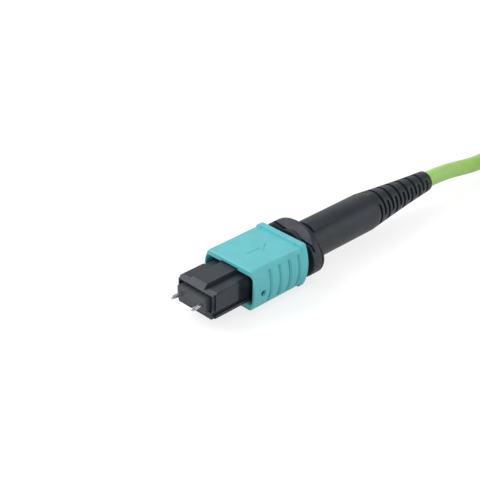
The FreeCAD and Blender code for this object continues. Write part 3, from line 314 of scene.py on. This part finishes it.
def make_springs():
    """Every spring that the record says a joint shortens."""
    for joint in frame["record"]["behaviour"]["joints"]:
        for entry in joint.get("deforming_nodes", []):
            make_spring(entry["node"], joint)


# ---------------------------------------------------------------- details of the grips
def face_outwards(mesh):
    """Turns every face of a closed mesh to the outside."""
    shape = bmesh.new()
    shape.from_mesh(mesh)
    bmesh.ops.recalc_face_normals(shape, faces=shape.faces)
    shape.to_mesh(mesh)
    shape.free()


def add_prisms(name, rings, body):
    """A sleeve detail made of prisms, each between two rings of as many points, riding a body."""
    verts, faces = [], []
    for lower, upper in rings:
        first, count = len(verts), len(lower)
        ring = list(range(first, first + count))
        verts += lower + upper
        faces += [[i + count for i in ring], ring[::-1]]
        faces += [(i, j, j + count, i + count) for i, j in zip(ring, ring[1:] + ring[:1])]
    mesh = bpy.data.meshes.new(name)
    mesh.from_pydata(verts, [], faces)
    face_outwards(mesh)
    mesh.materials.append(materials["sleeve_aqua"])
    detail = bpy.data.objects.new(name, mesh)
    bpy.context.scene.collection.objects.link(detail)
    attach(detail, body)
    return detail


def grip_top(node, from_front):
    """Height of a grip's top at a distance behind its front edge, down the finger scoop's slope."""
    low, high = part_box(node)
    scoop_start = high.x - low.x - REAR_LIP_LENGTH - SCOOP_LENGTH
    along = max(0.0, from_front - scoop_start)
    return high.z - REAR_LIP_HEIGHT - SCOOP_DEPTH * along / SCOOP_LENGTH


def make_arrow(name, node, body, forward):
    """A plain raised arrow on a grip that points the way to pull."""
    half = [(ARROW_TAIL, -ARROW_SHAFT_HALF), (ARROW_NECK, -ARROW_SHAFT_HALF), (ARROW_NECK, -ARROW_HEAD_HALF)]
    outline = half + [(ARROW_TIP, 0)] + [(along, -y) for along, y in reversed(half)]
    low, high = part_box(node)
    front = high.x if forward > 0 else low.x
    lower, upper = ([(front - forward * along, y, grip_top(node, along) + rise) for along, y in outline]
                    for rise in (-ARROW_SUNK, ARROW_PROUD))
    bevel = add_prisms(name, [(lower, upper)], body).modifiers.new("edges", "BEVEL")
    bevel.width = ARROW_EDGE
    bevel.segments = 2


def back_grooves(name, node, body, forward):
    """Thin strips inside a grip's walls, the floors of its grooves where they meet the cavity's corner."""
    low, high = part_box(node)
    rear = low.x if forward > 0 else high.x
    centre_z = (low.z + high.z) / 2
    ends = [rear + forward * along * MM for along in STRIP_SPAN]
    rings = [[[(x, side * y * MM, centre_z + z * MM) for y, z in STRIP_SECTION] for x in ends]
             for side in (1, -1)]
    add_prisms(name, rings, body)


# ---------------------------------------------------------------- cable
def near_route():
    """Out of the boot, down to the surface and beside the hank."""
    height = AXIS_HEIGHT / MM
    points = [
        (BOOT_END / MM, 0, height), (BOOT_END / MM - EXIT_RUN, 0, height), (-44.5, 0.8, 3.4),
        (-51.5, 0.1, 2.4), (-58, -2.8, 2.1), (-64.5, -4.5, 2.1), (-71, -4.5, 2.1),
    ]
    return [Vector(p) * MM for p in points]


def far_route(start_x):
    """From the hank to the far plug's boot."""
    height = AXIS_HEIGHT / MM
    offsets = [(-5, -4.5, 5.1), (-10.2, -3.45, 4.9), (-15.4, -1.05, 4.45), (-FAR_RUN, 0, height),
               (-FAR_RUN - EXIT_RUN, 0, height)]
    return [Vector((start_x + x * MM, y * MM, z * MM)) for x, y, z in offsets]


def half_turn(centre, start_angle, radius_from, radius_to, z_from, z_to, steps=6):
    """Points round one end of the hank, outside the curve by what the spline cuts off."""
    outward = 1 / math.cos(math.pi / steps / 2)
    points = []
    for i in range(steps):
        share = (i + 0.5) / steps
        angle = start_angle - math.pi * share
        radius = (radius_from + (radius_to - radius_from) * share) * outward
        z = z_from + (z_to - z_from) * share
        points.append(Vector((centre.x + radius * math.cos(angle), centre.y + radius * math.sin(angle), z)))
    return points


def hank_points(front, rear, bottom):
    """The turns of the hank: up the inner column, then down the outer one, to leave at layer two."""
    def level(layer):
        return bottom + CABLE_DIAMETER * (layer + 0.5)

    inner, outer = HANK_INNER_RADIUS, HANK_OUTER_RADIUS
    slots = [(outer, 0), (inner, 0), (inner, 1), (inner, 2), (inner, 3), (outer, 3), (outer, 2), (outer, 1)]
    points = []
    for (radius, layer), (next_radius, next_layer) in zip(slots, slots[1:]):
        z, next_z = level(layer), level(next_layer)
        points.append(Vector((rear.x, rear.y - radius, z)))
        points += half_turn(rear, -math.pi / 2, radius, radius, z, z)
        points.append(Vector((rear.x, rear.y + radius, z)))
        points.append(Vector((front.x, front.y + radius, z)))
        points += half_turn(front, math.pi / 2, radius, next_radius, z, next_z)
        points.append(Vector((front.x, front.y - next_radius, next_z)))
    points.append(Vector((rear.x, rear.y - outer, level(1))))
    return points


def make_cable():
    """The free cable as one spline: near run, hank and far run."""
    low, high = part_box("cord_hank")
    centre_y = (low.y + high.y) / 2
    reach = HANK_OUTER_RADIUS + CABLE_DIAMETER / 2
    front = Vector((high.x - reach, centre_y, 0))
    rear = Vector((low.x + reach, centre_y, 0))
    points = near_route() + hank_points(front, rear, low.z) + far_route(rear.x)
    curve = bpy.data.curves.new("cable", "CURVE")
    curve.dimensions = "3D"
    curve.bevel_depth = CABLE_DIAMETER / 2
    curve.bevel_resolution = 6
    curve.resolution_u = 5
    curve.use_fill_caps = True
    spline = curve.splines.new("NURBS")
    spline.points.add(len(points) - 1)
    for target, point in zip(spline.points, points):
        target.co = (*point, 1)
    spline.order_u = 3
    spline.use_endpoint_u = True
    cable = bpy.data.objects.new("cable", curve)
    bpy.context.scene.collection.objects.link(cable)
    curve.materials.append(materials["cable_lime"])
    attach(cable, "connector_body")
    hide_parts("cord_tube", "cord_hank", "cord_tube_far")
    with_pieces = [frame["nodes"][name] for name in frame["nodes"] if name.startswith("far_")]
    with_pieces.append(frame["nodes"]["hank_tie"])


# ---------------------------------------------------------------- camera, floor and light
def aim(thing, target):
    """Points a camera or lamp at a place."""
    direction = target - thing.location
    thing.rotation_euler = direction.to_track_quat("-Z", "Y").to_euler()


def make_camera():
    """The camera at the picture's viewing angle and distance."""
    data = bpy.data.cameras.new("camera")
    data.lens = LENS
    data.sensor_width = SENSOR
    data.clip_start = 0.01
    data.clip_end = 10
    camera = bpy.data.objects.new("camera", data)
    bpy.context.scene.collection.objects.link(camera)
    azimuth, elevation, roll = (math.radians(a) for a in CAMERA_ANGLES)
    back = Vector((math.cos(azimuth) * math.cos(elevation), math.sin(azimuth) * math.cos(elevation),
                   math.sin(elevation)))
    camera.location = CAMERA_TARGET + back * CAMERA_DISTANCE
    turn = (-back).to_track_quat("-Z", "Y").to_matrix() @ Matrix.Rotation(roll, 3, "Z")
    camera.rotation_euler = turn.to_euler()
    bpy.context.scene.camera = camera


def make_floor():
    """A plain white floor that keeps the shadow."""
    mesh = bpy.data.meshes.new("floor")
    corners = [(x * FLOOR_HALF, y * FLOOR_HALF, 0) for x, y in ((-1, -1), (1, -1), (1, 1), (-1, 1))]
    mesh.from_pydata(corners, [], [(0, 1, 2, 3)])
    floor = bpy.data.objects.new("floor", mesh)
    bpy.context.scene.collection.objects.link(floor)
    material = bpy.data.materials.new("floor_white")
    material.use_nodes = True
    tree = material.node_tree
    tree.nodes.clear()
    output = tree.nodes.new("ShaderNodeOutputMaterial")
    diffuse = tree.nodes.new("ShaderNodeBsdfDiffuse")
    diffuse.inputs["Color"].default_value = (FLOOR_GREY, FLOOR_GREY, FLOOR_GREY, 1)
    glow = tree.nodes.new("ShaderNodeEmission")
    glow.inputs["Color"].default_value = (1, 1, 1, 1)
    path = tree.nodes.new("ShaderNodeLightPath")
    amount = tree.nodes.new("ShaderNodeMath")
    kinds = (("Is Camera Ray", FLOOR_GLOW_SEEN), ("Is Glossy Ray", FLOOR_GLOW_MIRRORED))
    for term, (kind, strength) in zip(amount.inputs, kinds):
        share = tree.nodes.new("ShaderNodeMapRange")
        share.inputs["To Max"].default_value = strength
        tree.links.new(path.outputs[kind], share.inputs["Value"])
        tree.links.new(share.outputs["Result"], term)
    tree.links.new(amount.outputs[0], glow.inputs["Strength"])
    both = tree.nodes.new("ShaderNodeAddShader")
    tree.links.new(diffuse.outputs[0], both.inputs[0])
    tree.links.new(glow.outputs[0], both.inputs[1])
    tree.links.new(both.outputs[0], output.inputs["Surface"])
    mesh.materials.append(material)


def make_world():
    """A white room: full white where the camera sees it, softer as light."""
    world = bpy.data.worlds.new("room")
    bpy.context.scene.world = world
    world.use_nodes = True
    tree = world.node_tree
    background = tree.nodes["Background"]
    background.inputs["Color"].default_value = (1, 1, 1, 1)
    path = tree.nodes.new("ShaderNodeLightPath")
    spread = tree.nodes.new("ShaderNodeMapRange")
    spread.inputs["To Min"].default_value = ROOM_LIGHT
    spread.inputs["To Max"].default_value = 1.0
    tree.links.new(path.outputs["Is Camera Ray"], spread.inputs["Value"])
    tree.links.new(spread.outputs["Result"], background.inputs["Strength"])


def make_lamp(name, location_mm, size_mm, power):
    """A soft square lamp that points at the plug."""
    data = bpy.data.lights.new(name, "AREA")
    data.size = size_mm * MM
    data.energy = power
    lamp = bpy.data.objects.new(name, data)
    bpy.context.scene.collection.objects.link(lamp)
    lamp.location = Vector(location_mm) * MM
    aim(lamp, LAMP_TARGET)


dress_cad_nodes()
make_springs()
make_arrow("pull_arrow", "coupling_sleeve", "sleeve", 1)
make_arrow("far_pull_arrow", "far_coupling_sleeve", "far_sleeve", -1)
back_grooves("groove_floors", "coupling_sleeve", "sleeve", 1)
back_grooves("far_groove_floors", "far_coupling_sleeve", "far_sleeve", -1)
round_edges("inner_housing", "coupling_sleeve", "strain_relief_boot", "far_inner_housing",
            "far_coupling_sleeve", "far_boot")
make_cable()
make_camera()
make_floor()
make_world()
for lamp_values in LAMPS:
    make_lamp(*lamp_values)

bpy.context.scene.view_settings.view_transform = "Standard"
